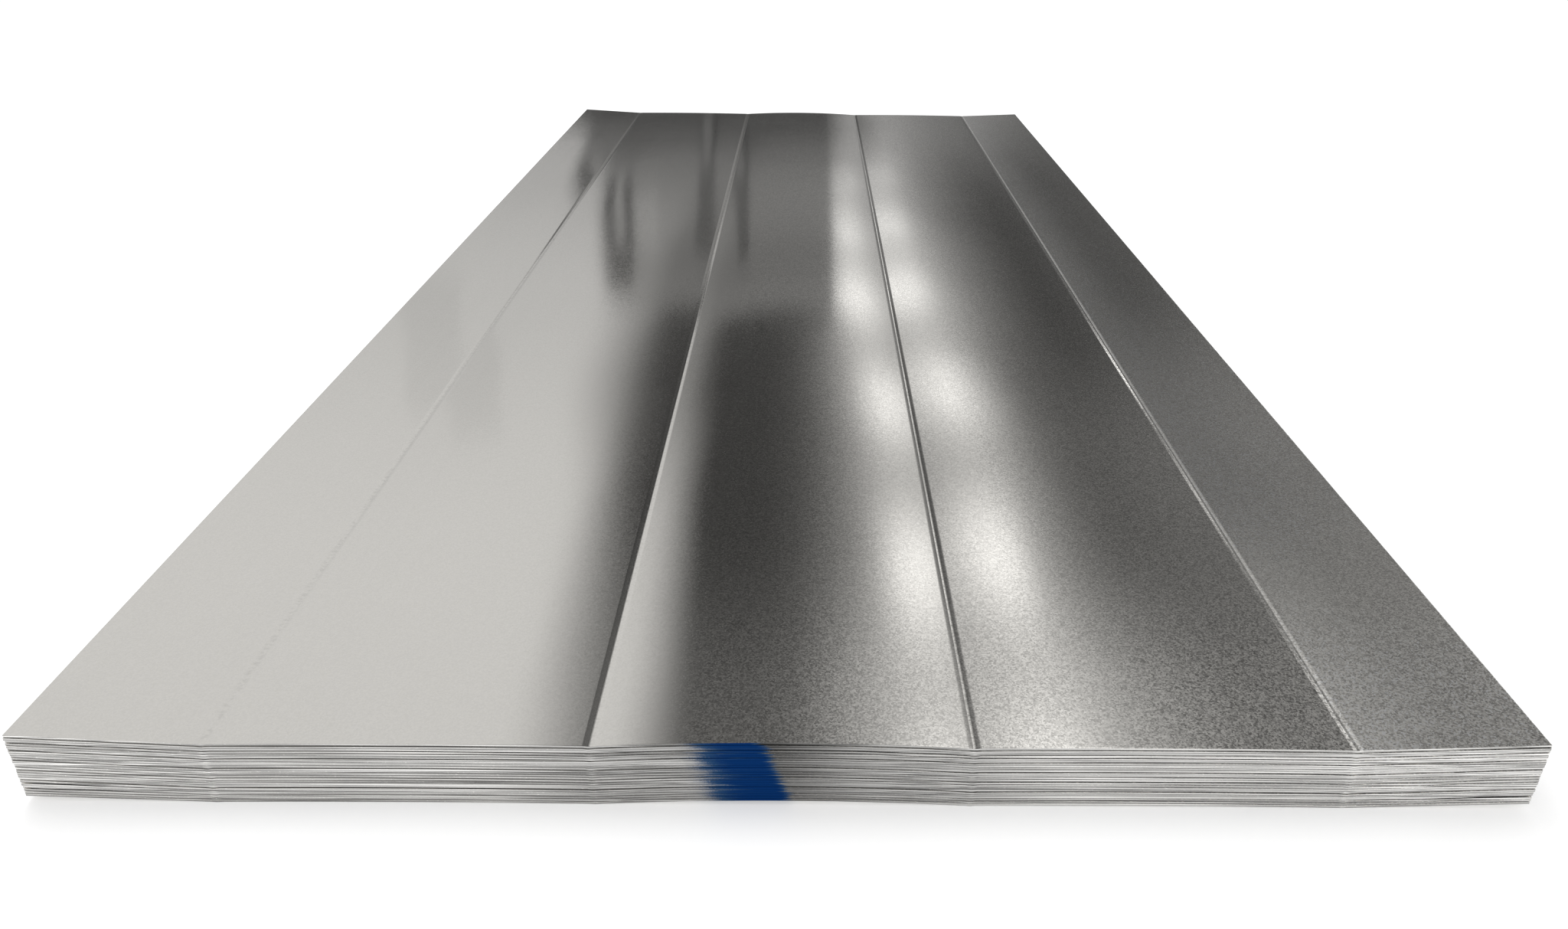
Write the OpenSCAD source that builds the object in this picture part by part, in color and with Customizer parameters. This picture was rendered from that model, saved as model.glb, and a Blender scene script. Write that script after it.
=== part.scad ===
// A flush stack of flat galvanised steel sheets. Each sheet is stiffened by shallow
// creases pressed along its length: the panels between the creases are bowed and the
// two outer strips rise to the long edges.
//
// Sizes are in millimetres. X runs across the sheets, Y along them and Z up. The origin
// is under the middle of the stack, on the floor that the lowest sheet lies on.

/* [Sheet] */
// Width of a sheet, across its creases
sheet_width = 1219; // [900:1:1524]
// Length of a sheet, along its creases
sheet_length = 2438; // [1200:1:3660]
// Thickness of the steel
sheet_thickness = 2.3; // [0.5:0.1:3]

/* [Creases] */
// Number of creases in a sheet, evenly spaced with half a space outside the last ones
crease_count = 4; // [2:1:6]
// Width of a crease from shoulder to shoulder
crease_width = 10; // [6:0.5:20]
// Depth of a crease below its shoulders
crease_depth = 0.4; // [0.2:0.1:2]
// Width of the flat strip along the bottom of a crease
land_width = 2; // [1:0.5:5]

/* [Panels] */
// Height of the bow of the panel in the middle, above the shoulders of its creases
middle_bow = 4.5; // [0:0.5:10]
// Height of the bow of the panels nearest the long edges
side_bow = 1; // [0:0.5:10]
// Height of the long edges of the lowest sheet above the bottom of its creases
edge_rise = 6; // [2:0.5:20]

/* [Stack] */
// Number of sheets in the stack
sheet_count = 24; // [2:1:40]
// Most that a bow or an edge of one sheet is higher or lower than the sizes above
shape_spread = 0.15; // [0:0.05:1.5]
// Most that a sheet has slipped to either side
side_slip = 0.3; // [0:0.1:1.5]
// Most that a sheet has slipped to either end
end_slip = 0.4; // [0:0.1:4]
// Clearance between two sheets where they sit closest
seat_gap = 0.1; // [0:0.05:0.3]
// Height of the gaps that stand open along the long edges, low in the stack
edge_gap = 1; // [0:0.1:3]

/* [Hidden] */
// Number of sheets below each of those gaps, at the left edge and at the right edge
left_gaps = [3, 5];
right_gaps = [3];
// Straight steps that follow the curve of each bowed panel
bow_steps = 12;
// Starting number for the small differences between the sheets
stack_seed = 34;

panel_count = crease_count - 1;
crease_pitch = sheet_width / crease_count;
panel_width = crease_pitch - crease_width;
strip_width = panel_width / 2;

// Rise per millimetre of the steepest slope in the section, which sets how tightly sheets nest
crease_slope = 2 * crease_depth / (crease_width - land_width);
highest_edge = edge_rise + shape_spread + edge_gap * max(len(left_gaps), len(right_gaps));
strip_slope = (highest_edge - crease_depth) / strip_width;
bow_slope = 4 * (max(middle_bow, side_bow) + shape_spread) / panel_width;
steepest_slope = max(crease_slope, strip_slope, bow_slope);

// One row of small differences for each sheet: its panels first, then its two edges
differences = [
    for (i = [0 : sheet_count - 1])
        rands(-shape_spread, shape_spread, panel_count + 2, stack_seed + i)
];
side_slips = centred(rands(-side_slip, side_slip, sheet_count, stack_seed));
end_slips = centred(rands(-end_slip, end_slip, sheet_count, stack_seed + sheet_count));

// Name of a sheet, counted from the bottom of the stack
function sheet_name(i) = str("sheet_", i < 9 ? "0" : "", i + 1);

// Values moved so that the highest and the lowest are equally far from zero
function centred(values) =
    let (middle = (max(values) + min(values)) / 2)
    [for (value = values) value - middle];

// Distance of a crease from the middle of the sheet
function crease_x(k) = (k - (crease_count - 1) / 2) * crease_pitch;

// Bow of panel k, which falls evenly from the middle panel to the outermost ones
function panel_bow(k) =
    panel_count == 1 ? middle_bow :
    side_bow + (middle_bow - side_bow) * (1 - abs(2 * k / (panel_count - 1) - 1));

// Points across the bottom of crease k, from shoulder to shoulder
function crease_points(k) = [
    [crease_x(k) - crease_width / 2, crease_depth],
    [crease_x(k) - land_width / 2, 0],
    [crease_x(k) + land_width / 2, 0],
    [crease_x(k) + crease_width / 2, crease_depth]
];

// Points over panel k between its two shoulders, on a shallow curve of the given height
function bow_points(k, height) = [
    for (step = [1 : bow_steps - 1])
        let (along = step / bow_steps)
        [
            crease_x(k) + crease_width / 2 + along * panel_width,
            crease_depth + 4 * height * along * (1 - along)
        ]
];

// Height of a long edge of sheet i, which is lifted by each gap that stands open below it
function edge_height(i, gaps, difference) =
    edge_rise + difference + edge_gap * len([for (below = gaps) if (i >= below) below]);

// Underside of sheet i, from its left edge to its right edge
function underside(i) = [
    [-sheet_width / 2, edge_height(i, left_gaps, differences[i][panel_count])],
    for (k = [0 : crease_count - 1])
        each concat(
            crease_points(k),
            k < panel_count ? bow_points(k, panel_bow(k) + differences[i][k]) : []
        ),
    [sheet_width / 2, edge_height(i, right_gaps, differences[i][panel_count + 1])]
];

// Upward normal of the line from one point to the next
function line_normal(from, to) =
    let (line = to - from)
    [-line.y, line.x] / norm(line);

// A line of points moved along its normals, so that the sheet is equally thick all over
function offset_line(points, distance) = [
    for (i = [0 : len(points) - 1])
        let (
            last = len(points) - 1,
            before = line_normal(points[max(i, 1) - 1], points[max(i, 1)]),
            after = line_normal(points[min(i, last - 1)], points[min(i, last - 1) + 1])
        )
        points[i] + distance * (before + after) / (1 + before * after)
];

// Values of a list in the opposite order
function reversed(values) = [for (i = [len(values) - 1 : -1 : 0]) values[i]];

// Height of sheet i over the one below: its thickness on the steepest slope, the part
// of a slope that it has slipped up, and what the lower sheet stands proud of it
function seat_rise(i) =
    sheet_thickness * sqrt(1 + pow(steepest_slope, 2))
    + abs(side_slips[i] - side_slips[i - 1]) * steepest_slope
    + max(concat(0, differences[i - 1] - differences[i]))
    + seat_gap;

// Height of the lowest strips of sheet i above the floor
function seat_height(i) = i == 0 ? 0 : seat_height(i - 1) + seat_rise(i);

// One sheet of the stack, counted from the bottom
module sheet(i) {
    lower = underside(i);
    upper = offset_line(lower, sheet_thickness);
    color("silver")
        translate([side_slips[i], end_slips[i] + sheet_length / 2, seat_height(i)])
            rotate([90, 0, 0])
                linear_extrude(height = sheet_length)
                    polygon(concat(lower, reversed(upper)));
}

for (i = [0 : sheet_count - 1])
    sheet(i);
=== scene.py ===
"""A flush stack of creased galvanised steel sheets, laid in place of the frame's solids.

Every sheet takes its section from the solid that it stands for. Sizes are in metres, in the
frame of the solids: X across the sheets, Y along them with the near end at -Y, and Z up.
"""

import math

import bpy
import numpy as np
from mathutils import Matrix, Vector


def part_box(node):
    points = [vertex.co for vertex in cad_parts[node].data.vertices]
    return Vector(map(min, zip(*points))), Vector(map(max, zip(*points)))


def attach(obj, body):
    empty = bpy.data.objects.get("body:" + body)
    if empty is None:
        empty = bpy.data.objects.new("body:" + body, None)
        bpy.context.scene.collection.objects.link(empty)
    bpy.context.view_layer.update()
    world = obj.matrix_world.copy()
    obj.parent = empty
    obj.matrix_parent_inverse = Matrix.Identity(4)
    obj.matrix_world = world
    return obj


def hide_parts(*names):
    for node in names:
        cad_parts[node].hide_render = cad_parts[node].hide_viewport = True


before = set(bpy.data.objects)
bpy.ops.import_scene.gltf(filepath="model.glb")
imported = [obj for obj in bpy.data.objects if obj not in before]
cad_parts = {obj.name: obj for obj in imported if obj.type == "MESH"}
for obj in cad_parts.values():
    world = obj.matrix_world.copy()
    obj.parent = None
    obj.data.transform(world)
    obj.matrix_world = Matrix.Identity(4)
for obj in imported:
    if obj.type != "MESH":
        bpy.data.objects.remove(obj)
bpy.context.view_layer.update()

bl_info = {
    "name": "Creased Sheet Stack",
    "version": (1, 0, 0),
    "blender": (4, 5, 0),
    "location": "3D View > Sidebar > Sheet Stack",
    "description": "Lays a stack of creased galvanised steel sheets on a plain stage",
    "category": "Object",
}

PHOTO_WIDTH = 2048
SHEET_NODES = sorted(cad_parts)
TOP_NODE = SHEET_NODES[-1]
BODY = "root"
MM = 0.001
HALF = (0.5, 0.5, 0.5)

# Where both ends of the stack start, as a distance from the middle
END_PLACE = 1.212
# Height over which the sides of the paint mark slant
MARK_HEIGHT = 0.065
# The second crease from the left
SECOND_CREASE = -0.1524
# Stretch of the overhead panel where its pale side steps back and its middle turns paler
PANEL_STEP = (12.0, 12.6)
# The point in front of the near end that the posts of the panel fan out from
FAN_X = 0.015
FAN_DISTANCE = 1.86


# Node trees


class Wire:
    """An output socket of a node tree. Arithmetic on it adds Math nodes to the tree."""

    def __init__(self, maker, socket):
        self.maker = maker
        self.socket = socket

    def other(self, name):
        """Another output of the node that this one comes from."""
        return Wire(self.maker, self.maker.find(self.socket.node.outputs, name))

    def __add__(self, value):
        return self.maker.math("ADD", self, value)

    def __radd__(self, value):
        return self.maker.math("ADD", value, self)

    def __sub__(self, value):
        return self.maker.math("SUBTRACT", self, value)

    def __rsub__(self, value):
        return self.maker.math("SUBTRACT", value, self)

    def __mul__(self, value):
        return self.maker.math("MULTIPLY", self, value)

    def __rmul__(self, value):
        return self.maker.math("MULTIPLY", value, self)

    def __truediv__(self, value):
        return self.maker.math("DIVIDE", self, value)

    def __rtruediv__(self, value):
        return self.maker.math("DIVIDE", value, self)

    def __lt__(self, value):
        return self.maker.math("LESS_THAN", self, value)

    def __gt__(self, value):
        return self.maker.math("GREATER_THAN", self, value)

    def __mod__(self, value):
        return self.maker.math("FLOORED_MODULO", self, value)

    def __floordiv__(self, value):
        return self.maker.math("FLOOR", self / value)

    def __abs__(self):
        return self.maker.math("ABSOLUTE", self)


class NodeMaker:
    """Adds nodes to one tree and links them."""

    def __init__(self, tree):
        self.tree = tree

    def find(self, sockets, key):
        """A socket by its number, or by the identifier or name of one that is in use."""
        if isinstance(key, int):
            return sockets[key]
        for socket in sockets:
            if socket.enabled and key in (socket.identifier, socket.name):
                return socket
        raise KeyError(f"no socket {key} among {[socket.identifier for socket in sockets]}")

    def node(self, kind, settings=None, inputs=None, output=0):
        """A new node with its settings, then its inputs, as the wire of one of its outputs."""
        node = self.tree.nodes.new(kind)
        for name, value in (settings or {}).items():
            setattr(node, name, value)
        for key, value in (inputs or {}).items():
            socket = self.find(node.inputs, key)
            for part in value if isinstance(value, list) else [value]:
                if isinstance(part, Wire):
                    self.tree.links.new(part.socket, socket)
                else:
                    socket.default_value = part
        return Wire(self, self.find(node.outputs, output)) if node.outputs else node

    def math(self, operation, *values):
        return self.node("ShaderNodeMath", {"operation": operation}, dict(enumerate(values)))

    def vector_math(self, operation, *values):
        return self.node("ShaderNodeVectorMath", {"operation": operation}, dict(enumerate(values)))

    def scaled(self, vector, factors):
        """A vector with each of its parts multiplied by its own number."""
        return self.vector_math("MULTIPLY", vector, factors)

    def parts(self, vector):
        """The X, Y and Z of a vector."""
        x = self.node("ShaderNodeSeparateXYZ", inputs={"Vector": vector})
        return x, x.other("Y"), x.other("Z")

    def ease(self, value, start, end):
        """0 before start and 1 after end, with a smooth rise between them."""
        return self.node(
            "ShaderNodeMapRange",
            {"interpolation_type": "SMOOTHSTEP"},
            {"Value": value, "From Min": start, "From Max": end},
        )

    def window(self, value, rise, fall):
        """1 after the rise and before the fall, which are each a start and an end."""
        return self.ease(value, *rise) * (1 - self.ease(value, *fall))

    def profile(self, value, first, *changes):
        """The first number, changed by each amount as the value goes from its start to its end."""
        result = first
        for amount, start, end in changes:
            result = result + amount * self.ease(value, start, end)
        return result

    def bell(self, square):
        """1 where the square of a distance is 0, and falling off as it grows."""
        return self.math("EXPONENT", 0 - square)

    def blend(self, factor, first, second):
        """Goes from the first number to the second as the factor goes from 0 to 1."""
        return self.node(
            "ShaderNodeMix",
            {"data_type": "FLOAT"},
            {"Factor_Float": factor, "A_Float": first, "B_Float": second},
            "Result_Float",
        )

    def blend_colour(self, factor, first, second, blend_type="MIX"):
        return self.node(
            "ShaderNodeMix",
            {"data_type": "RGBA", "blend_type": blend_type},
            {"Factor_Float": factor, "A_Color": first, "B_Color": second},
            "Result_Color",
        )

    def noise(self, vector, scale, detail=2.0, roughness=0.5):
        """Soft random values from about 0 to 1."""
        return self.node(
            "ShaderNodeTexNoise",
            {"noise_dimensions": "3D"},
            {"Vector": vector, "Scale": scale, "Detail": detail, "Roughness": roughness},
            "Fac",
        )

    def drawn_noise(self, place, per_metre, detail=2.0, roughness=0.5):
        """Random values, drawn out along each axis that has few of them per metre."""
        return self.noise(self.scaled(place, per_metre), 1.0, detail, roughness)


def colour(values):
    """A colour with full cover."""
    return (*values, 1.0)


# Settings


class SheetSettings(bpy.types.PropertyGroup):
    """Sizes of the sheets that the frame doesn't give"""

    bend_reach: bpy.props.FloatProperty(
        name="Bend reach",
        description="Length of the bend on each side of a fold line",
        default=0.0007,
        unit="LENGTH",
    )
    shear_round: bpy.props.FloatProperty(
        name="Shear rounding",
        description="Width of the rounding along the sheared edges",
        default=0.00012,
        unit="LENGTH",
    )
    lower_rows: bpy.props.IntProperty(
        name="Rows of a lower sheet",
        description="Rows of points along a sheet inside the stack",
        default=10,
    )
    top_rows: bpy.props.IntProperty(
        name="Rows of the top sheet",
        description="Rows of points along the top sheet, which shows its ripples",
        default=100,
    )
    ripple_height: bpy.props.FloatProperty(
        name="Ripple height",
        description="Most that a panel of the top sheet lifts out of its plain curve",
        default=0.0006,
        unit="LENGTH",
    )
    ripple_size: bpy.props.FloatProperty(
        name="Ripple size",
        description="Size of one ripple of the top sheet",
        default=0.28,
        unit="LENGTH",
    )
    ripple_seed: bpy.props.IntProperty(
        name="Ripple seed",
        description="Starting number for the ripples",
        default=3,
    )


class FinishSettings(bpy.types.PropertyGroup):
    """Colours and surface of the zinc, the sheared edges and the paint mark"""

    zinc_colour: bpy.props.FloatVectorProperty(
        name="Zinc colour",
        description="Colour of the zinc coating",
        subtype="COLOR",
        default=(0.62, 0.605, 0.575),
    )
    zinc_roughness: bpy.props.FloatProperty(
        name="Zinc roughness",
        description="Roughness of the zinc coating",
        subtype="FACTOR",
        default=0.09,
    )
    grain_size: bpy.props.FloatProperty(
        name="Grain size",
        description="Width of one crystal of the zinc coating",
        default=0.0013,
        unit="LENGTH",
    )
    grain_tilt: bpy.props.FloatProperty(
        name="Grain tilt",
        description="Most that a crystal leans out of the surface, as a slope",
        default=0.005,
    )
    grain_contrast: bpy.props.FloatProperty(
        name="Grain contrast",
        description="Most that the crystals differ in tone, away from the even left side",
        subtype="FACTOR",
        default=0.66,
    )
    gloss_spread: bpy.props.FloatProperty(
        name="Gloss spread",
        description="Most that a crystal is rougher or smoother than the rest",
        subtype="FACTOR",
        default=0.05,
    )
    edge_colour: bpy.props.FloatVectorProperty(
        name="Edge colour",
        description="Colour of the burnished part of a sheared edge",
        subtype="COLOR",
        default=(0.69, 0.68, 0.66),
    )
    # The rim colour paints highlight lines onto the sheared edges
    rim_highlight_colour: bpy.props.FloatVectorProperty(
        name="Rim colour",
        description="Colour of the bright lines along a sheared edge",
        subtype="COLOR",
        default=(0.97, 0.96, 0.94),
    )
    torn_colour: bpy.props.FloatVectorProperty(
        name="Torn edge colour",
        description="Colour of the torn part of a sheared edge",
        subtype="COLOR",
        default=(0.4, 0.395, 0.385),
    )
    paint_colour: bpy.props.FloatVectorProperty(
        name="Paint colour",
        description="Colour of the paint mark across the near edges",
        subtype="COLOR",
        default=(0.0046, 0.039, 0.166),
    )
    thin_paint_colour: bpy.props.FloatVectorProperty(
        name="Thin paint colour",
        description="Colour of the paint mark where its film is thin",
        subtype="COLOR",
        default=(0.03, 0.082, 0.18),
    )


class StageSettings(bpy.types.PropertyGroup):
    """Floor, light and camera"""

    floor_colour: bpy.props.FloatVectorProperty(
        name="Floor colour",
        description="Colour of the floor",
        subtype="COLOR",
        default=(0.9, 0.9, 0.9),
    )
    floor_size: bpy.props.FloatProperty(
        name="Floor size",
        description="Length of each side of the floor",
        default=80.0,
        unit="LENGTH",
    )
    floor_lift: bpy.props.FloatProperty(
        name="Floor lift",
        description="What lifts the lit floor to white in the picture and in reflections",
        default=0.34,
    )
    panel_size: bpy.props.FloatProperty(
        name="Panel size",
        description="Length of each side of the panel that the metal reflects",
        default=240.0,
        unit="LENGTH",
    )
    panel_height: bpy.props.FloatProperty(
        name="Panel height",
        description="Height of the panel that the metal reflects",
        default=5.0,
        unit="LENGTH",
    )
    fill_level: bpy.props.FloatProperty(
        name="Fill level",
        description="Brightness of the even light from all round",
        default=0.75,
    )
    lamp_power: bpy.props.FloatProperty(
        name="Lamp power",
        description="Power of the soft lamp overhead",
        default=40.0,
        unit="POWER",
    )
    lamp_size: bpy.props.FloatProperty(
        name="Lamp size",
        description="Width of the soft lamp overhead",
        default=3.0,
        unit="LENGTH",
    )
    lamp_place: bpy.props.FloatVectorProperty(
        name="Lamp place",
        description="Place of the soft lamp overhead",
        subtype="TRANSLATION",
        default=(-1.2, 0.4, 3.8),
    )
    camera_place: bpy.props.FloatVectorProperty(
        name="Camera place",
        description="Place of the camera",
        subtype="TRANSLATION",
        default=(0.0148, -1.8581, 0.6872),
    )
    camera_turn: bpy.props.FloatVectorProperty(
        name="Camera turn",
        description="Turn of the camera",
        subtype="EULER",
        default=(math.radians(64.869), math.radians(-0.658), math.radians(-0.223)),
    )
    camera_focus: bpy.props.FloatProperty(
        name="Camera focus",
        description="Focal length in pixels of the picture",
        default=1397.6,
    )
    camera_shift: bpy.props.FloatVectorProperty(
        name="Camera shift",
        description="Shift of the picture to the right and upwards, in widths of the picture",
        size=2,
        default=(-0.01865, -0.0575),
    )


# Finishes


def object_place(maker):
    """The point of the surface, in the frame of the solids."""
    return maker.node("ShaderNodeTexCoord", output="Object")


def attribute(maker, name):
    """A number that is stored on the points of a sheet."""
    settings = {"attribute_name": name, "attribute_type": "GEOMETRY"}
    return maker.node("ShaderNodeAttribute", settings, output="Fac")


def grey(maker, level):
    """A grey of the given level, as a colour to multiply by."""
    return maker.node("ShaderNodeCombineColor", inputs={"Red": level, "Green": level, "Blue": level})


def new_finish(name):
    """A new material, the maker of its nodes, and its shader, which has no gloss but a metal's."""
    material = bpy.data.materials.new(name)
    material.use_nodes = True
    shader = material.node_tree.nodes["Principled BSDF"]
    shader.inputs["Specular IOR Level"].default_value = 0.0
    return material, NodeMaker(material.node_tree), shader


def finish_metal(maker, shader, base, roughness, normal, paint):
    """Links the surface of a metal to its shader. Paint on it is matt and isn't metallic."""
    paint_roughness = 0.6
    inputs = {
        "Base Color": base,
        "Roughness": maker.blend(paint, roughness, paint_roughness),
        "Metallic": 1 - paint,
        "Normal": normal,
    }
    for name, wire in inputs.items():
        maker.tree.links.new(wire.socket, shader.inputs[name])


def paint_mark(maker, place):
    """Cover of the sprayed paint on the near end, and of the grey haze beside it, from 0 to 1."""
    x, y, z = maker.parts(place)
    near_end = y < -END_PLACE
    # Both sides of the mark slant to the left towards the top
    low_left = -0.034
    left_slant = 0.015
    low_right = 0.003
    right_slant = 0.022
    height = z / MARK_HEIGHT
    left = low_left - left_slant * height
    right = low_right - right_slant * height

    # The left side thins out in streaks and the right side stops almost at once, both in fine dots
    fray_reach = 0.035
    left_fade = (-0.052, 0.028)
    right_fade = (-0.005, 0.012)
    streaks = maker.drawn_noise(place, (9.0, 0.0, 560.0), roughness=0.6)
    frayed = x + fray_reach * (streaks - 0.5)
    thick = maker.ease(frayed - left, *left_fade)
    stopped = 1 - maker.ease(frayed - right, *right_fade)

    # The film is thinner on the rims of some sheets
    rim_loss = 0.4
    dots_per_metre = 2200.0
    dot_strength = 0.5
    rims = maker.ease(maker.drawn_noise(place, (14.0, 0.0, 1300.0), 1.0), 0.58, 0.72)
    dots = maker.noise(place, dots_per_metre, 1.0, 0.6)
    film = thick * stopped * (1 - rim_loss * rims)
    cover = maker.ease(film + dot_strength * (dots - 0.5), 0.03, 0.9)

    # The haze is densest at the top
    low_haze = 0.55
    added_haze = 0.25
    haze = maker.ease(x - left, -0.01, 0.02) * (1 - maker.ease(x, -0.03, 0.088))
    haze = haze * (low_haze + added_haze * height)
    return cover * near_end, haze * near_end


def painted(maker, settings, cover, bare):
    """A bare colour under a film of paint, which is paler and clearer where it is thin."""
    thin = maker.blend_colour(maker.ease(cover, 0.0, 0.5), bare, colour(settings.thin_paint_colour))
    return maker.blend_colour(maker.ease(cover, 0.4, 1.0), thin, colour(settings.paint_colour))


def zinc_crystals(maker, place, size):
    """A random colour for each crystal of the zinc, with ragged outlines."""
    rags_per_metre = 700.0
    rags = maker.node(
        "ShaderNodeTexNoise",
        inputs={"Vector": place, "Scale": rags_per_metre, "Detail": 1.0},
        output="Color",
    )
    rags = maker.scaled(maker.vector_math("SUBTRACT", rags, HALF), (size, size, size))
    return maker.node(
        "ShaderNodeTexVoronoi",
        {"feature": "F1", "voronoi_dimensions": "3D"},
        {"Vector": maker.vector_math("ADD", place, rags), "Scale": 1 / size},
        "Color",
    )


def crystal_contrast(maker, settings, x, y):
    """Most that the crystals differ in tone, which changes over the sheet."""
    least_contrast = 0.06
    # The left side is even, and from the middle on the crystals stand out
    strength = maker.profile(x, 0.0, (0.65, -0.12, -0.05), (0.35, 0.1, 0.3))
    # Around the third crease they are fainter, and to both sides of it stronger at the near end
    most_loss = 0.58
    most_gain = 0.7
    near_end = 1 - maker.ease(y, -1.15, -0.98)
    around = maker.window(x, (0.03, 0.09), (0.2, 0.24))
    beside = 1 - maker.window(x, (0.03, 0.09), (0.26, 0.36))
    strength = strength * (1 - most_loss * around * (1 - near_end))
    strength = strength * (1 + most_gain * near_end * beside)
    return settings.grain_contrast * strength + least_contrast


def strip_and_painted_reflection(maker, x, y):
    """Cover of the right strip, and a painted reflection that brightens it and the far part of the
    second crease.
    """
    edge_loss = 0.3
    strip = maker.ease(x, 0.4535, 0.4575) * (1 - edge_loss * maker.ease(x, 0.464, 0.6))
    strip_reflection = strip * maker.profile(y, 0.6, (0.4, -1.05, -0.85))
    on_crease = 1 - maker.ease(abs(x - SECOND_CREASE), 0.0045, 0.0055)
    return strip, strip_reflection + on_crease * maker.ease(y, -0.35, 0.0)


def zinc_normal(maker, settings, x, crystals):
    """The normal of the zinc, which leans a little from crystal to crystal.

    The creases look a little steeper than they are, and the outer strips lean to the left.
    """
    added_steepness = 0.35
    strip_lean = 0.025
    tilt = 2 * settings.grain_tilt
    normal = maker.node("ShaderNodeNewGeometry", output="Normal")
    slope, _, _ = maker.parts(normal)
    outer = maker.ease(abs(x), 0.458, 0.466)
    sideways = added_steepness * slope * attribute(maker, "crease") - strip_lean * outer
    lean = maker.scaled(maker.vector_math("SUBTRACT", crystals, HALF), (tilt, tilt, tilt))
    leaning = maker.vector_math("ADD", normal, lean)
    turned = maker.node("ShaderNodeCombineXYZ", inputs={"X": sideways})
    return maker.vector_math("NORMALIZE", maker.vector_math("ADD", leaning, turned))


def zinc_finish(settings):
    """Bright zinc with a fine mottle of crystals, which differ in tone, lean and gloss."""
    material, maker, shader = new_finish("galvanised_zinc")
    place = object_place(maker)
    x, y, _ = maker.parts(place)
    crystals = zinc_crystals(maker, place, settings.grain_size)
    tone, _, gloss = maker.parts(crystals)
    paint, _ = paint_mark(maker, place)
    paint = paint * attribute(maker, "inside")

    # Broad clouds, fine marks of rolling, and dashes of wear along the creases
    cloud_strength = 0.02
    rolled_strength = 0.02
    wear_strength = 0.08
    clouds = cloud_strength * (maker.noise(place, 9.0, 3.0) - 0.5)
    rolled = rolled_strength * (maker.drawn_noise(place, (90.0, 1.2, 90.0)) - 0.5)
    dashes = maker.drawn_noise(place, (200.0, 330.0, 200.0), 1.0)
    worn = wear_strength * attribute(maker, "crease") * maker.ease(dashes, 0.45, 0.65)

    # A painted reflection brightens the right strip and the second crease, and the right strip is
    # more even
    reflection_gain = 0.5
    strip_evenness = 0.25
    strip, painted_reflection = strip_and_painted_reflection(maker, x, y)
    mottle = crystal_contrast(maker, settings, x, y) * (1 - strip_evenness * strip)
    shade = 1 + mottle * (tone - 0.5) + clouds + rolled - worn
    shade = shade * (1 + reflection_gain * painted_reflection)
    zinc = maker.blend_colour(1.0, colour(settings.zinc_colour), grey(maker, shade), "MULTIPLY")
    base = painted(maker, settings, paint, zinc)
    roughness = settings.zinc_roughness + settings.gloss_spread * (2 * gloss - 1)
    roughness = roughness + 2 * clouds + rolled + worn
    normal = zinc_normal(maker, settings, x, crystals)
    finish_metal(maker, shader, base, roughness, normal, paint)
    return material


def sheared_finish(settings):
    """Sheared steel: burnished near one face, torn and duller below, with painted highlights and the
    paint mark.
    """
    material, maker, shader = new_finish("sheared_edge")
    place = object_place(maker)
    x, y, _ = maker.parts(place)
    paint, haze = paint_mark(maker, place)

    def streaks(along, upwards, detail=2.0, roughness=0.5):
        """Streaks along the edges, with so many per metre along them and upwards."""
        return maker.drawn_noise(place, (along, along, upwards), detail, roughness)

    # Each sheet has a burnished band of its own width, and all of it is drawn out in streaks
    wander_reach = 1.5
    long_strength = 1.5
    fine_strength = 1.8
    wander = wander_reach * (streaks(5.0, 380.0) - 0.5)
    burnished = maker.ease(attribute(maker, "rise") + wander, 0.45, 0.7)
    long_streaks = long_strength * (streaks(3.0, 310.0) - 0.5)
    fine_streaks = fine_strength * (streaks(14.0, 1500.0, 3.0, 0.6) - 0.5)
    # Painted highlight lines along the rims of the sheets
    lines = maker.ease(streaks(2.5, 1000.0), 0.53, 0.62)
    # Small marks: real nicks, painted glints, and painted highlights at the creases
    mark_strength = 0.3
    nicks = maker.noise(place, 900.0, 2.0)
    painted_glints = maker.ease(streaks(500.0, 1100.0, 1.0), 0.66, 0.74)
    crease_highlights = maker.ease(streaks(60.0, 260.0), 0.45, 0.65) * attribute(maker, "crease")
    marks = mark_strength * (nicks - 0.5 + painted_glints + crease_highlights)
    # The middle of both ends is darker
    middle_loss = 0.34
    end_middle = (1 - maker.ease(abs(x), 0.1, 0.26)) * (abs(y) > END_PLACE)
    darkened = (1 - middle_loss * end_middle) * (1 - haze)

    mean_level = 0.88
    streaked = mean_level + long_streaks + fine_streaks + marks
    steel = maker.blend_colour(burnished, colour(settings.torn_colour), colour(settings.edge_colour))
    steel = maker.blend_colour(1.0, steel, grey(maker, streaked), "MULTIPLY")
    # Blends in the painted highlight lines
    steel = maker.blend_colour(lines, steel, colour(settings.rim_highlight_colour))
    steel = maker.blend_colour(1.0, steel, grey(maker, darkened), "MULTIPLY")
    base = painted(maker, settings, paint, steel)
    torn_roughness = 0.5
    burnished_roughness = 0.34
    nick_roughness = 0.1
    roughness = maker.blend(burnished, torn_roughness, burnished_roughness)
    roughness = roughness + nick_roughness * (nicks - 0.5)
    nicked = maker.node(
        "ShaderNodeBump", inputs={"Strength": 0.25, "Distance": 0.1 * MM, "Height": nicks}
    )
    finish_metal(maker, shader, base, roughness, nicked, paint)
    return material


def finishes(settings):
    """The two finishes of a sheet, made when they are first asked for."""
    zinc = bpy.data.materials.get("galvanised_zinc") or zinc_finish(settings)
    sheared = bpy.data.materials.get("sheared_edge") or sheared_finish(settings)
    return zinc, sheared


# Sections of the sheets


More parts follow.
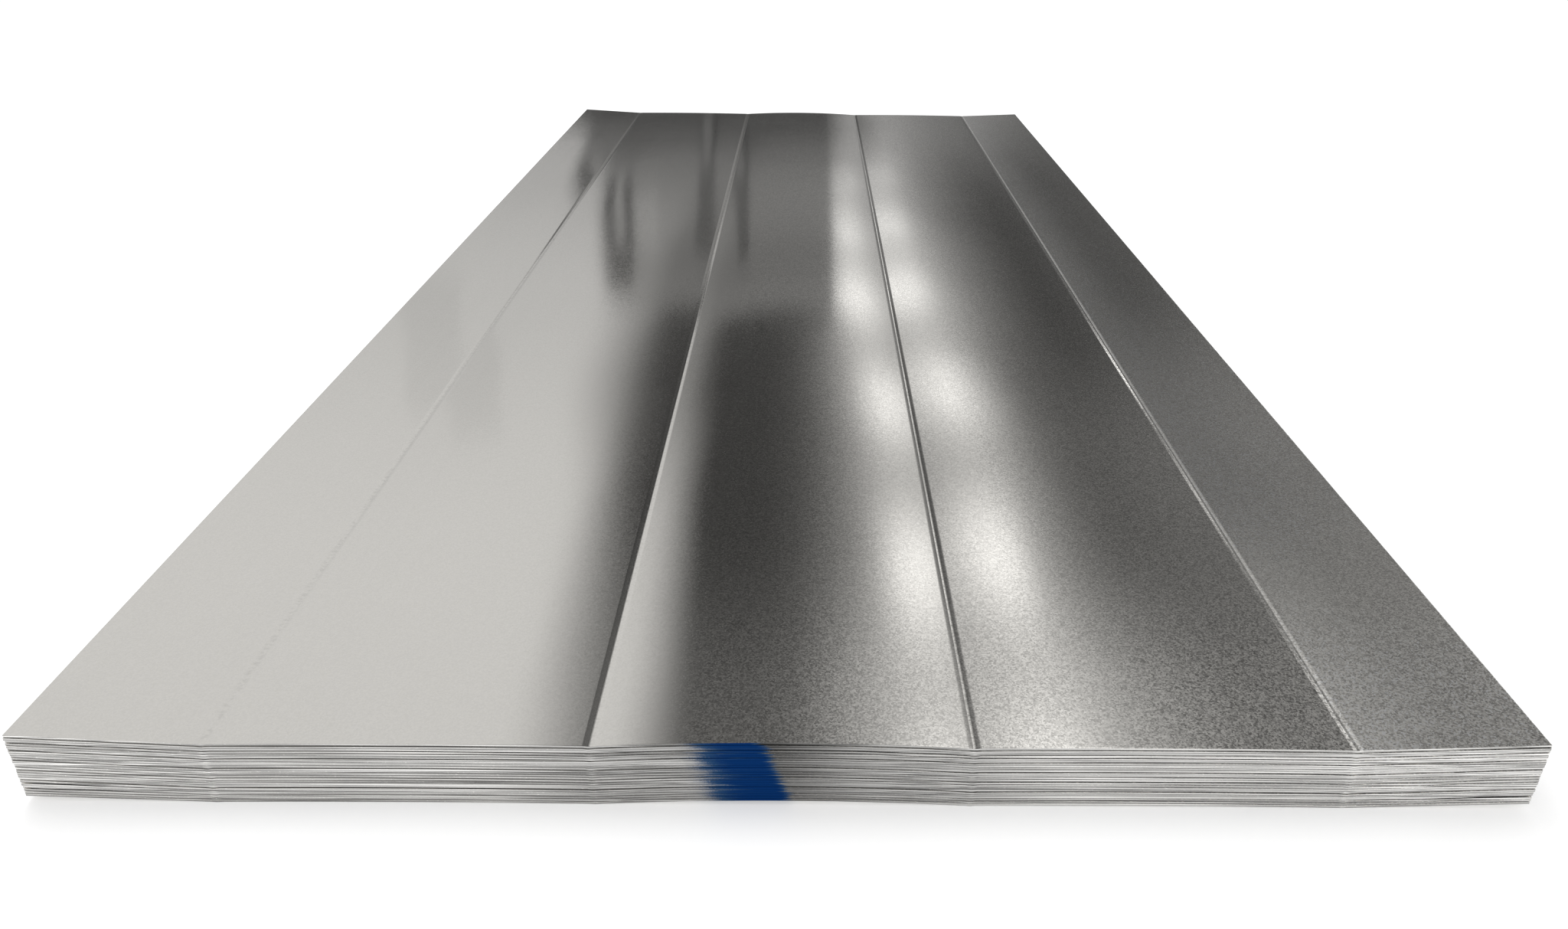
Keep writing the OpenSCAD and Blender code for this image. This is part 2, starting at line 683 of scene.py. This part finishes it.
def read_section(node_name):
    """Points of a solid's underside from left to right, as X and Z, and its thickness."""
    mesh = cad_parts[node_name].data
    places = np.array([vertex.co for vertex in mesh.vertices])
    near_end = places[places[:, 1] < places[:, 1].min() + 0.1 * MM]
    corners = np.unique(near_end[:, [0, 2]].round(7), axis=0)
    pairs = corners.reshape(-1, 2, 2)
    lower = pairs[np.arange(len(pairs)), pairs[:, :, 1].argmin(1)]
    upper = pairs[np.arange(len(pairs)), pairs[:, :, 1].argmax(1)]
    return lower, float(np.linalg.norm(upper[0] - lower[0]))


def turns(points):
    """The turn of the line at each of its points, in radians."""
    steps = np.diff(points, axis=0)
    slopes = np.arctan2(steps[:, 1], steps[:, 0])
    return np.concatenate([[0.0], np.abs(np.diff(slopes)), [0.0]])


def smooth_run(points, parts):
    """A run of points with others between them, on the curve through all of them."""
    before = 3 * points[0] - 3 * points[1] + points[2]
    after = 3 * points[-1] - 3 * points[-2] + points[-3]
    padded = np.vstack([before, points, after])
    result = [points[0]]
    for i in range(len(points) - 1):
        a, b, c, d = padded[i : i + 4]
        for t in np.arange(1, parts + 1) / parts:
            result.append(
                b + 0.5 * t * (c - a + t * (2 * a - 5 * b + 4 * c - d + t * (3 * (b - c) + d - a)))
            )
    return np.array(result)


def moved(point, towards, distance):
    """A point moved by a distance towards another one."""
    step = towards - point
    return point + distance * step / np.linalg.norm(step)


def rounded_corner(before, corner, after, reach):
    """Points of a small bend in place of a corner, with one more point on each straight side."""
    support_reach = 1.35 * reach
    start = moved(corner, before, reach)
    end = moved(corner, after, reach)
    bend = [
        (1 - t) ** 2 * start + 2 * t * (1 - t) * corner + t**2 * end for t in (0, 0.25, 0.5, 0.75, 1)
    ]
    return [moved(corner, before, support_reach), *bend, moved(corner, after, support_reach)]


def fine_section(points, reach):
    """The section with rounded bends and smooth bows, and where its creases are."""
    corner_turn = math.radians(1.4)
    crease_corners = 4
    bow_parts = 2
    strip_points = 8
    edge_support = 1.0 * MM
    corners = np.flatnonzero(turns(points) > corner_turn)
    creases = [
        points[corners[k + 1 : k + 3], 0].mean() for k in range(0, len(corners), crease_corners)
    ]
    last = len(points) - 1
    stops = [0, *corners, last]
    line = []
    for first, second in zip(stops[:-1], stops[1:]):
        run = points[first : second + 1]
        if len(run) > 3:
            run = smooth_run(run, bow_parts)
        elif first == 0 or second == last:
            steps = np.linspace(0, 1, strip_points)[:, None]
            run = points[first] + steps * (points[second] - points[first])
        if first == 0:
            line.append(run[0])
            line.append(moved(run[0], run[1], edge_support))
        line.extend(run[1:-1])
        if second == last:
            line.append(moved(run[-1], run[-2], edge_support))
            line.append(run[-1])
        else:
            line.extend(rounded_corner(run[-2], points[second], points[second + 1], reach))
    return np.array(line), np.array(creases)


# Sheets


def creased_sheet_tree():
    """Geometry Nodes that run a section along its length and give it its thickness."""
    tree = bpy.data.node_groups.get("Creased sheet")
    if tree:
        return tree
    tree = bpy.data.node_groups.new("Creased sheet", "GeometryNodeTree")
    tree.is_modifier = True
    inputs = [
        ("Section", "NodeSocketGeometry"),
        ("Stations", "NodeSocketInt"),
        ("Rows", "NodeSocketInt"),
        ("Near end", "NodeSocketFloat"),
        ("Far end", "NodeSocketFloat"),
        ("End support", "NodeSocketFloat"),
        ("Thickness", "NodeSocketFloat"),
        ("Ripple height", "NodeSocketFloat"),
        ("Ripple size", "NodeSocketFloat"),
        ("Ripple seed", "NodeSocketInt"),
        ("Top inside", "NodeSocketFloat"),
        ("Zinc", "NodeSocketMaterial"),
        ("Sheared edge", "NodeSocketMaterial"),
    ]
    for name, kind in inputs:
        tree.interface.new_socket(name, in_out="INPUT", socket_type=kind)
    tree.interface.new_socket("Sheet", in_out="OUTPUT", socket_type="NodeSocketGeometry")
    maker = NodeMaker(tree)
    given = maker.node("NodeGroupInput", output="Section")

    # A grid whose columns are the stations of the section
    grid = maker.node(
        "GeometryNodeMeshGrid",
        inputs={"Vertices X": given.other("Stations"), "Vertices Y": given.other("Rows")},
        output="Mesh",
    )
    index = maker.node("GeometryNodeInputIndex")
    rows = given.other("Rows")
    station = index // rows
    row = index % rows
    position = maker.node("GeometryNodeInputPosition")

    def at_station(value, data_type):
        return maker.node(
            "GeometryNodeSampleIndex",
            {"data_type": data_type, "domain": "POINT"},
            {"Geometry": given, "Value": value, "Index": station},
        )

    def section_value(name):
        named = maker.node("GeometryNodeInputNamedAttribute", {"data_type": "FLOAT"}, {"Name": name})
        return at_station(named, "FLOAT")

    across, _, height = maker.parts(at_station(position, "FLOAT_VECTOR"))
    near = given.other("Near end")
    far = given.other("Far end")
    support = given.other("End support")
    inner_step = (far - near - 2 * support) / (rows - 3)
    along = near + support + (row - 1) * inner_step
    along = maker.math("MINIMUM", maker.math("MAXIMUM", along, near), far)

    # Ripples lift the free middle of the panels and fade towards the ends
    fade_length = 0.12
    wave_place = maker.node(
        "ShaderNodeCombineXYZ", inputs={"X": across, "Y": along, "Z": given.other("Ripple seed")}
    )
    wave = maker.noise(wave_place, 1 / given.other("Ripple size"), 1.0)
    from_end = maker.math("MINIMUM", along - near, far - along)
    inward = maker.ease(from_end, 0.0, fade_length)
    lift = given.other("Ripple height") * wave * section_value("free") * inward
    place = maker.node("ShaderNodeCombineXYZ", inputs={"X": across, "Y": along, "Z": height + lift})
    underside = maker.node("GeometryNodeSetPosition", inputs={"Geometry": grid, "Position": place})

    def store(geometry, name, value, selection=True):
        return maker.node(
            "GeometryNodeStoreNamedAttribute",
            {"data_type": "FLOAT", "domain": "POINT"},
            {"Geometry": geometry, "Selection": selection, "Name": name, "Value": value},
        )

    underside = store(underside, "crease", section_value("crease"))
    underside = store(underside, "rise", 0.0)
    underside = store(underside, "inside", 1.0)

    # The upper side is the underside moved along its normals
    thick = maker.node(
        "GeometryNodeExtrudeMesh",
        {"mode": "FACES"},
        {"Mesh": underside, "Offset Scale": given.other("Thickness"), "Individual": False},
        "Mesh",
    )
    top = thick.other("Top")
    side = thick.other("Side")
    thick = store(thick, "rise", 1.0, top)
    thick = store(thick, "inside", given.other("Top inside"), top)
    turned = maker.node("GeometryNodeFlipFaces", inputs={"Mesh": underside})
    joined = maker.node("GeometryNodeJoinGeometry", inputs={"Geometry": [turned, thick]})
    merge_distance = 0.001 * MM
    closed = maker.node(
        "GeometryNodeMergeByDistance", inputs={"Geometry": joined, "Distance": merge_distance}
    )
    smooth = maker.node(
        "GeometryNodeSetShadeSmooth", inputs={"Geometry": closed, "Shade Smooth": True}
    )
    real = maker.node("GeometryNodeRealizeInstances", inputs={"Geometry": smooth})
    faced = maker.node(
        "GeometryNodeSetMaterial", inputs={"Geometry": real, "Material": given.other("Zinc")}
    )
    edged = maker.node(
        "GeometryNodeSetMaterial",
        inputs={"Geometry": faced, "Selection": side, "Material": given.other("Sheared edge")},
    )
    maker.node("NodeGroupOutput", inputs={"Sheet": edged})
    return tree


def section_mesh(name, line, creases):
    """The section as a line of points, with how near each is to a crease and how free to ripple."""
    crease_reach = 5.0 * MM
    crease_fade = 4.0 * MM
    held_width = 6.0 * MM
    free_fade = 70.0 * MM
    section = bpy.data.meshes.new(name)
    section.from_pydata(
        [(x, 0.0, z) for x, z in line],
        [(i, i + 1) for i in range(len(line) - 1)],
        [],
    )
    to_crease = np.abs(line[:, :1] - creases[None, :]).min(1)
    to_edge = np.minimum(line[:, 0] - line[0, 0], line[-1, 0] - line[:, 0])
    on_crease = np.clip((crease_reach - to_crease) / crease_fade, 0.0, 1.0)
    free = np.clip((np.minimum(to_crease, to_edge) - held_width) / free_fade, 0.0, 1.0)
    free = free * free * (3 - 2 * free)
    for attribute_name, values in (("crease", on_crease), ("free", free)):
        section.attributes.new(attribute_name, "FLOAT", "POINT").data.foreach_set("value", values)
    return section


def lay_sheet(scene, node_name, rows, ripple_height, top_inside):
    """Makes one sheet from the section of the solid that it stands for."""
    end_support = 1.0 * MM
    rounded_angle = math.radians(50)
    sizes = scene.stack_sheets
    zinc, sheared = finishes(scene.stack_finishes)
    points, thickness = read_section(node_name)
    line, creases = fine_section(points, sizes.bend_reach)
    low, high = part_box(node_name)
    section = section_mesh(node_name + "_section", line, creases)
    sheet = bpy.data.objects.new("galvanised_" + node_name, section)
    scene.collection.objects.link(sheet)
    tree = creased_sheet_tree()
    modifier = sheet.modifiers.new("Creased sheet", "NODES")
    modifier.node_group = tree
    values = {
        "Stations": len(line),
        "Rows": rows,
        "Near end": low.y,
        "Far end": high.y,
        "End support": end_support,
        "Thickness": thickness,
        "Ripple height": ripple_height,
        "Ripple size": sizes.ripple_size,
        "Ripple seed": sizes.ripple_seed,
        "Top inside": top_inside,
        "Zinc": zinc,
        "Sheared edge": sheared,
    }
    for item in tree.interface.items_tree:
        if item.in_out == "INPUT" and item.name in values:
            modifier[item.identifier] = values[item.name]
    rounding = sheet.modifiers.new("Shear rounding", "BEVEL")
    rounding.limit_method = "ANGLE"
    rounding.angle_limit = rounded_angle
    rounding.width = sizes.shear_round
    rounding.segments = 2

    depsgraph = bpy.context.evaluated_depsgraph_get()
    made = bpy.data.meshes.new_from_object(
        sheet.evaluated_get(depsgraph), preserve_all_data_layers=True, depsgraph=depsgraph
    )
    sheet.modifiers.clear()
    sheet.data = made
    made.name = sheet.name
    bpy.data.meshes.remove(section)
    if not made.polygons:
        raise RuntimeError(f"{node_name} gave a sheet with no faces")
    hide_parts(node_name)
    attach(sheet, BODY)
    return sheet


class SHEETSTACK_OT_lower_sheets(bpy.types.Operator):
    """Lays all the sheets under the top one"""

    bl_idname = "sheet_stack.lay_lower_sheets"
    bl_label = "Lay Lower Sheets"

    def execute(self, context):
        rows = context.scene.stack_sheets.lower_rows
        for node_name in SHEET_NODES[:-1]:
            lay_sheet(context.scene, node_name, rows, ripple_height=0.0, top_inside=1.0)
        return {"FINISHED"}


class SHEETSTACK_OT_top_sheet(bpy.types.Operator):
    """Lays the top sheet, whose panels have slight ripples"""

    bl_idname = "sheet_stack.lay_top_sheet"
    bl_label = "Lay Top Sheet"

    def execute(self, context):
        sizes = context.scene.stack_sheets
        lay_sheet(context.scene, TOP_NODE, sizes.top_rows, sizes.ripple_height, top_inside=0.0)
        return {"FINISHED"}


# Stage


def post_cover(maker, across, along, azimuth, half_width, start, end):
    """Cover of a slender post of the panel, which fans out from a point in front of the near end."""
    softness = 0.003
    start_fade = 0.8
    end_fade = 1.5
    fan = (across - FAN_X) / (along + FAN_DISTANCE)
    inside = 1 - maker.ease(abs(fan - azimuth), half_width - softness, half_width + softness)
    return inside * maker.window(along, (start, start + start_fade), (end - end_fade, end))


def pale_side(maker, across, along):
    """Cover and brightness of the pale left side of the panel.

    Its edge curves away to the left, and at the step of the panel it goes back and turns sharp.
    """
    edge_start = -1.43
    edge_curve = 0.008
    nearer_limit = -2.2
    step_back = 0.15
    further_start = -1.75
    further_slant = 0.13
    curve = edge_start - edge_curve * along * along
    nearer_edge = maker.math("MAXIMUM", curve, nearer_limit)
    further_edge = maker.math("MAXIMUM", curve - step_back, further_start - further_slant * along)
    edge = maker.blend(maker.ease(along, *PANEL_STEP), nearer_edge, further_edge)
    softness = maker.profile(along, 0.5, (0.27, 7.0, 9.4), (-0.57, *PANEL_STEP))
    cover = 1 - maker.ease((across - edge) / softness, -1.0, 1.0)
    cover = cover * (1 - maker.ease(along, 21.8, 23.6))

    # One broad post is only a little darker
    post_loss = 0.09
    level = maker.profile(along, 0.92, (-0.22, 5.0, 14.0), (-0.15, 13.0, 18.5))
    level = level * (1 - post_loss * post_cover(maker, across, along, -0.356, 0.031, 8.0, 13.5))
    return cover, level


def dark_middle(maker, across, along):
    """Brightness of the dark middle of the panel, with a beam and a paler stretch beyond its step."""
    near_level = 0.065
    beam_gain = 0.05
    half_pale_gain = 0.11
    beam = maker.window(along, PANEL_STEP, (13.0, 13.6))
    paler = maker.profile(along, 0.2, (0.05, 14.5, 17.0), (-0.165, 18.5, 24.5))
    level = maker.blend(maker.ease(along, 11.7, 12.3), near_level, paler + beam_gain * beam)
    half_pale = maker.window(along, PANEL_STEP, (15.5, 19.0)) * (1 - maker.ease(across, -2.4, -1.8))
    level = level + half_pale_gain * half_pale

    def post(azimuth, half_width, start, end):
        return post_cover(maker, across, along, azimuth, half_width, start, end)

    # Two dark posts, and bright lines in them and beside the first
    level = level * (1 - 0.65 * post(-0.184, 0.0165, 12.6, 20.0))
    level = level * (1 - 0.5 * post(-0.088, 0.009, 14.0, 27.0))
    level = level + 0.25 * post(-0.182, 0.005, 14.5, 20.0)
    level = level + 0.07 * post(-0.153, 0.012, 14.0, 19.0)
    return level + 0.12 * post(-0.0895, 0.005, 19.5, 27.0)


def dim_side(maker, across, along):
    """Brightness of the dim right side of the panel.

    It is paler away from the middle close by, darker there further on, and paler again far off.
    """
    mean_level = 0.125
    close_gain = 0.072
    further_loss = 0.045
    far_gain = 0.15
    close_by = 1 - maker.ease(along, 7.5, 12.0)
    close = close_by * maker.ease(across, 2.5, 4.5)
    further = (1 - close_by) * maker.profile(across, 0.0, (1.0, 2.6, 3.6), (-0.8, 3.9, 4.5))
    far_off = maker.ease(along, 17.0, 25.0) * (1 - maker.ease(across, 3.8, 4.8))
    return mean_level + close_gain * close - further_loss * further + far_gain * far_off


def near_glow(maker, across, along):
    """Added brightness of the panel over the near end, most of it right of the middle."""
    level = maker.profile(across, 0.09, (0.13, -0.2, 0.8), (0.04, 1.6, 2.6), (-0.17, 2.6, 3.8))
    return level * (1 - maker.ease(along, 3.5, 6.6))


def to_nearest(maker, along, first, step):
    """Distance along the panel to the nearest lamp of a row."""
    past = (along - first) % step
    return maker.math("MINIMUM", past, step - past)


def lamp_row(maker, across, along, row_place):
    """Brightness of a row of round lamps with soft skirts.

    The nearest lamp lies further left, and its right side is sharper. Beyond the step of the
    panel the row is cut off on the left.
    """
    first_lamp = 6.18
    lamp_step = 3.33
    lamp_length = 0.92
    lamp_width = 0.5
    near_left_width = 0.42
    near_right_width = 0.4
    near_shift = 0.1
    spot_level = 0.85
    skirt_level = 0.56
    beside = to_nearest(maker, along, first_lamp, lamp_step) / lamp_length
    onward = maker.ease(along, 7.0, 9.0)
    from_spot = across - row_place + near_shift * (1 - onward)
    on_right = from_spot > 0.0
    near_width = maker.blend(on_right, near_left_width, near_right_width)
    to_spot = from_spot / maker.blend(onward, near_width, lamp_width)
    square = to_spot * to_spot
    square = maker.blend(on_right * (1 - onward), square, square * square)
    spot = maker.bell(square + beside * beside)

    left_width = maker.profile(along, 1.05, (-0.2, 9.0, 13.0))
    right_width = maker.profile(along, 0.66, (0.36, 9.0, 13.0))
    to_skirt = (across - row_place) / maker.blend(across > row_place, left_width, right_width)
    skirt = maker.bell(to_skirt * to_skirt)

    cut_start = 0.52
    cut_slant = 0.014
    cut_softness = 0.12
    past_cut = maker.ease(across - cut_start - cut_slant * along, -cut_softness, cut_softness)
    kept = 1 - maker.ease(along, 11.0, 12.5) * (1 - past_cut)
    fading = maker.profile(along, 1.0, (-0.84, 12.0, 24.0))
    return (spot_level * spot + skirt_level * skirt) * fading * kept


def second_row(maker, across, along):
    """Brightness of a second row of lamps, which only the steep sides of the creases reflect."""
    first_lamp = 5.4
    lamp_step = 3.65
    lamp_length = 0.75
    gap_level = 0.04
    beside = to_nearest(maker, along, first_lamp, lamp_step) / lamp_length
    lamps = maker.bell(beside * beside) * (1 - maker.ease(along, 13.5, 15.5))
    lamps = lamps * maker.profile(along, 0.6, (1.3, 9.5, 12.0))
    return maker.ease(across, 5.0, 5.5) * (gap_level + lamps)


def panel_level(maker, place):
    """Brightness of the panel over the stack, which is there for the metal to reflect.

    Its two halves are alike, so that the stack looks much the same from either end.
    """
    across, y, _ = maker.parts(place)
    along = abs(y)
    row_place = maker.profile(along, 1.68, (-0.43, 7.5, 13.5), (0.34, 17.0, 23.0))
    on_right = maker.ease(across - row_place, -0.5, 0.7)
    level = maker.blend(on_right, dark_middle(maker, across, along), dim_side(maker, across, along))
    level = level + near_glow(maker, across, along)
    level = level + second_row(maker, across, along)
    level = level + lamp_row(maker, across, along, row_place)
    pale, pale_level = pale_side(maker, across, along)
    return maker.blend(pale, level, pale_level)


def panel_finish():
    """A glowing panel that only the metal sees."""
    material, maker, shader = new_finish("overhead_panel")
    shader.inputs["Base Color"].default_value = colour((0.0, 0.0, 0.0))
    shader.inputs["Emission Strength"].default_value = 1.0
    level = panel_level(maker, object_place(maker))
    maker.tree.links.new(level.socket, shader.inputs["Emission Color"])
    material.cycles.emission_sampling = "NONE"
    return material


def seen_ray(maker):
    """1 for what the camera sees, straight on, mirrored or through glass."""
    camera_ray = maker.node("ShaderNodeLightPath", output="Is Camera Ray")
    seen = maker.math("MAXIMUM", camera_ray, camera_ray.other("Is Glossy Ray"))
    return maker.math("MAXIMUM", seen, camera_ray.other("Is Transmission Ray"))


def set_world(scene, settings):
    """White behind everything, and even light from all round."""
    world = bpy.data.worlds.new("studio")
    scene.world = world
    world.use_nodes = True
    maker = NodeMaker(world.node_tree)
    background = world.node_tree.nodes["Background"]
    level = maker.blend(seen_ray(maker), settings.fill_level, 1.0)
    world.node_tree.links.new(level.socket, background.inputs["Color"])


def floor_finish(settings):
    """Pale floor that keeps shadows and is white where it is fully lit."""
    material, maker, shader = new_finish("pale_floor")
    shader.inputs["Base Color"].default_value = colour(settings.floor_colour)
    shader.inputs["Roughness"].default_value = 0.9
    shader.inputs["Emission Strength"].default_value = 1.0
    lift = settings.floor_lift * seen_ray(maker)
    maker.tree.links.new(lift.socket, shader.inputs["Emission Color"])
    return material


def level_plane(scene, name, size, height, material):
    """A square plane of the stage, level and centred over the origin."""
    half = size / 2
    plane = bpy.data.meshes.new(name)
    plane.from_pydata(
        [(-half, -half, height), (half, -half, height), (half, half, height), (-half, half, height)],
        [],
        [(0, 1, 2, 3)],
    )
    plane.materials.append(material)
    made = bpy.data.objects.new(name, plane)
    scene.collection.objects.link(made)
    return made


class SHEETSTACK_OT_stage(bpy.types.Operator):
    """Sets the camera, the floor and the light"""

    bl_idname = "sheet_stack.set_stage"
    bl_label = "Set Stage"

    def execute(self, context):
        scene = context.scene
        settings = scene.stack_stage

        lens = bpy.data.cameras.new("picture_camera")
        lens.sensor_fit = "HORIZONTAL"
        lens.sensor_width = 36.0
        lens.lens = settings.camera_focus * lens.sensor_width / PHOTO_WIDTH
        lens.shift_x, lens.shift_y = settings.camera_shift
        lens.clip_start = 0.01
        lens.clip_end = 500.0
        camera = bpy.data.objects.new("picture_camera", lens)
        camera.location = settings.camera_place
        camera.rotation_euler = settings.camera_turn
        scene.collection.objects.link(camera)
        scene.camera = camera

        level_plane(scene, "floor", settings.floor_size, 0.0, floor_finish(settings))
        panel = level_plane(
            scene, "overhead_panel", settings.panel_size, settings.panel_height, panel_finish()
        )
        panel.visible_camera = False
        panel.visible_diffuse = False
        panel.visible_transmission = False
        panel.visible_volume_scatter = False
        panel.visible_shadow = False

        soft = bpy.data.lights.new("overhead_lamp", "AREA")
        soft.shape = "DISK"
        soft.size = settings.lamp_size
        soft.energy = settings.lamp_power
        lamp = bpy.data.objects.new("overhead_lamp", soft)
        lamp.location = settings.lamp_place
        lamp.rotation_euler = (-lamp.location).to_track_quat("-Z", "Y").to_euler()
        lamp.visible_glossy = False
        lamp.visible_camera = False
        scene.collection.objects.link(lamp)

        set_world(scene, settings)
        scene.view_settings.view_transform = "Standard"
        return {"FINISHED"}


class SHEETSTACK_PT_stack(bpy.types.Panel):
    """Settings and steps of the stack"""

    bl_idname = "SHEETSTACK_PT_stack"
    bl_label = "Sheet Stack"
    bl_space_type = "VIEW_3D"
    bl_region_type = "UI"
    bl_category = "Sheet Stack"

    def draw(self, context):
        scene = context.scene
        groups = (scene.stack_sheets, scene.stack_finishes, scene.stack_stage)
        for group in groups:
            box = self.layout.box()
            for name in type(group).__annotations__:
                box.prop(group, name)
        for operator in OPERATORS:
            self.layout.operator(operator.bl_idname)


OPERATORS = (SHEETSTACK_OT_stage, SHEETSTACK_OT_lower_sheets, SHEETSTACK_OT_top_sheet)
CLASSES = (SheetSettings, FinishSettings, StageSettings, *OPERATORS, SHEETSTACK_PT_stack)


def register():
    for cls in CLASSES:
        bpy.utils.register_class(cls)
    bpy.types.Scene.stack_sheets = bpy.props.PointerProperty(type=SheetSettings)
    bpy.types.Scene.stack_finishes = bpy.props.PointerProperty(type=FinishSettings)
    bpy.types.Scene.stack_stage = bpy.props.PointerProperty(type=StageSettings)


def unregister():
    del bpy.types.Scene.stack_stage
    del bpy.types.Scene.stack_finishes
    del bpy.types.Scene.stack_sheets
    for cls in reversed(CLASSES):
        bpy.utils.unregister_class(cls)


def main():
    register()
    bpy.ops.sheet_stack.set_stage()
    bpy.ops.sheet_stack.lay_lower_sheets()
    bpy.ops.sheet_stack.lay_top_sheet()


if __name__ == "__main__":
    main()
